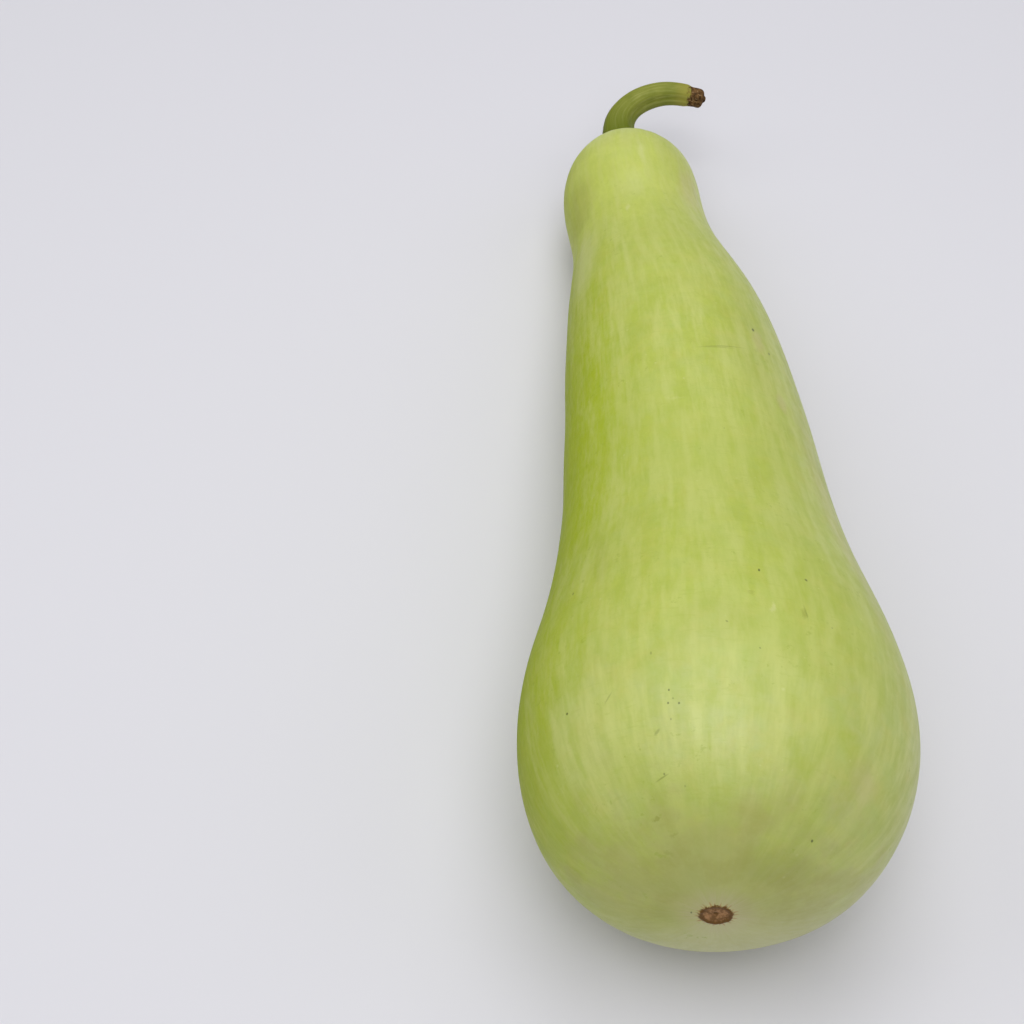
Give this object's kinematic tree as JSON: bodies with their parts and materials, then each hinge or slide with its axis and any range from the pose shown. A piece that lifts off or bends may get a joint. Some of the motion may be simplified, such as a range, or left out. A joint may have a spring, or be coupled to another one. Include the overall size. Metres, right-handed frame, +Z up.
{
  "type": "bottle gourd",
  "caption": "Whole bottle gourd lying on its side: round bulb, long thick neck bent a little to one side, soft waist, rounded knob and a short curved cut stem.",
  "frame": {"origin": "on the surface that the gourd lies on, under the middle of its bounding box", "axes": "+Z up; the blossom end points to -Y and the stem end to +Y; the neck bends towards -X and the stem's tip points to +X"},
  "size_m": [0.1158, 0.4002, 0.1154],
  "materials": {
    "fruit_skin": "pale yellow-green waxy skin, satin, with fine lengthwise streaks",
    "stem_skin": "olive green ribbed stalk, dull, with a brown corky cut end"
  },
  "bodies": {
    "root": {"fruit": "fruit_skin", "stem": "stem_skin"}
  },
  "joints": []
}
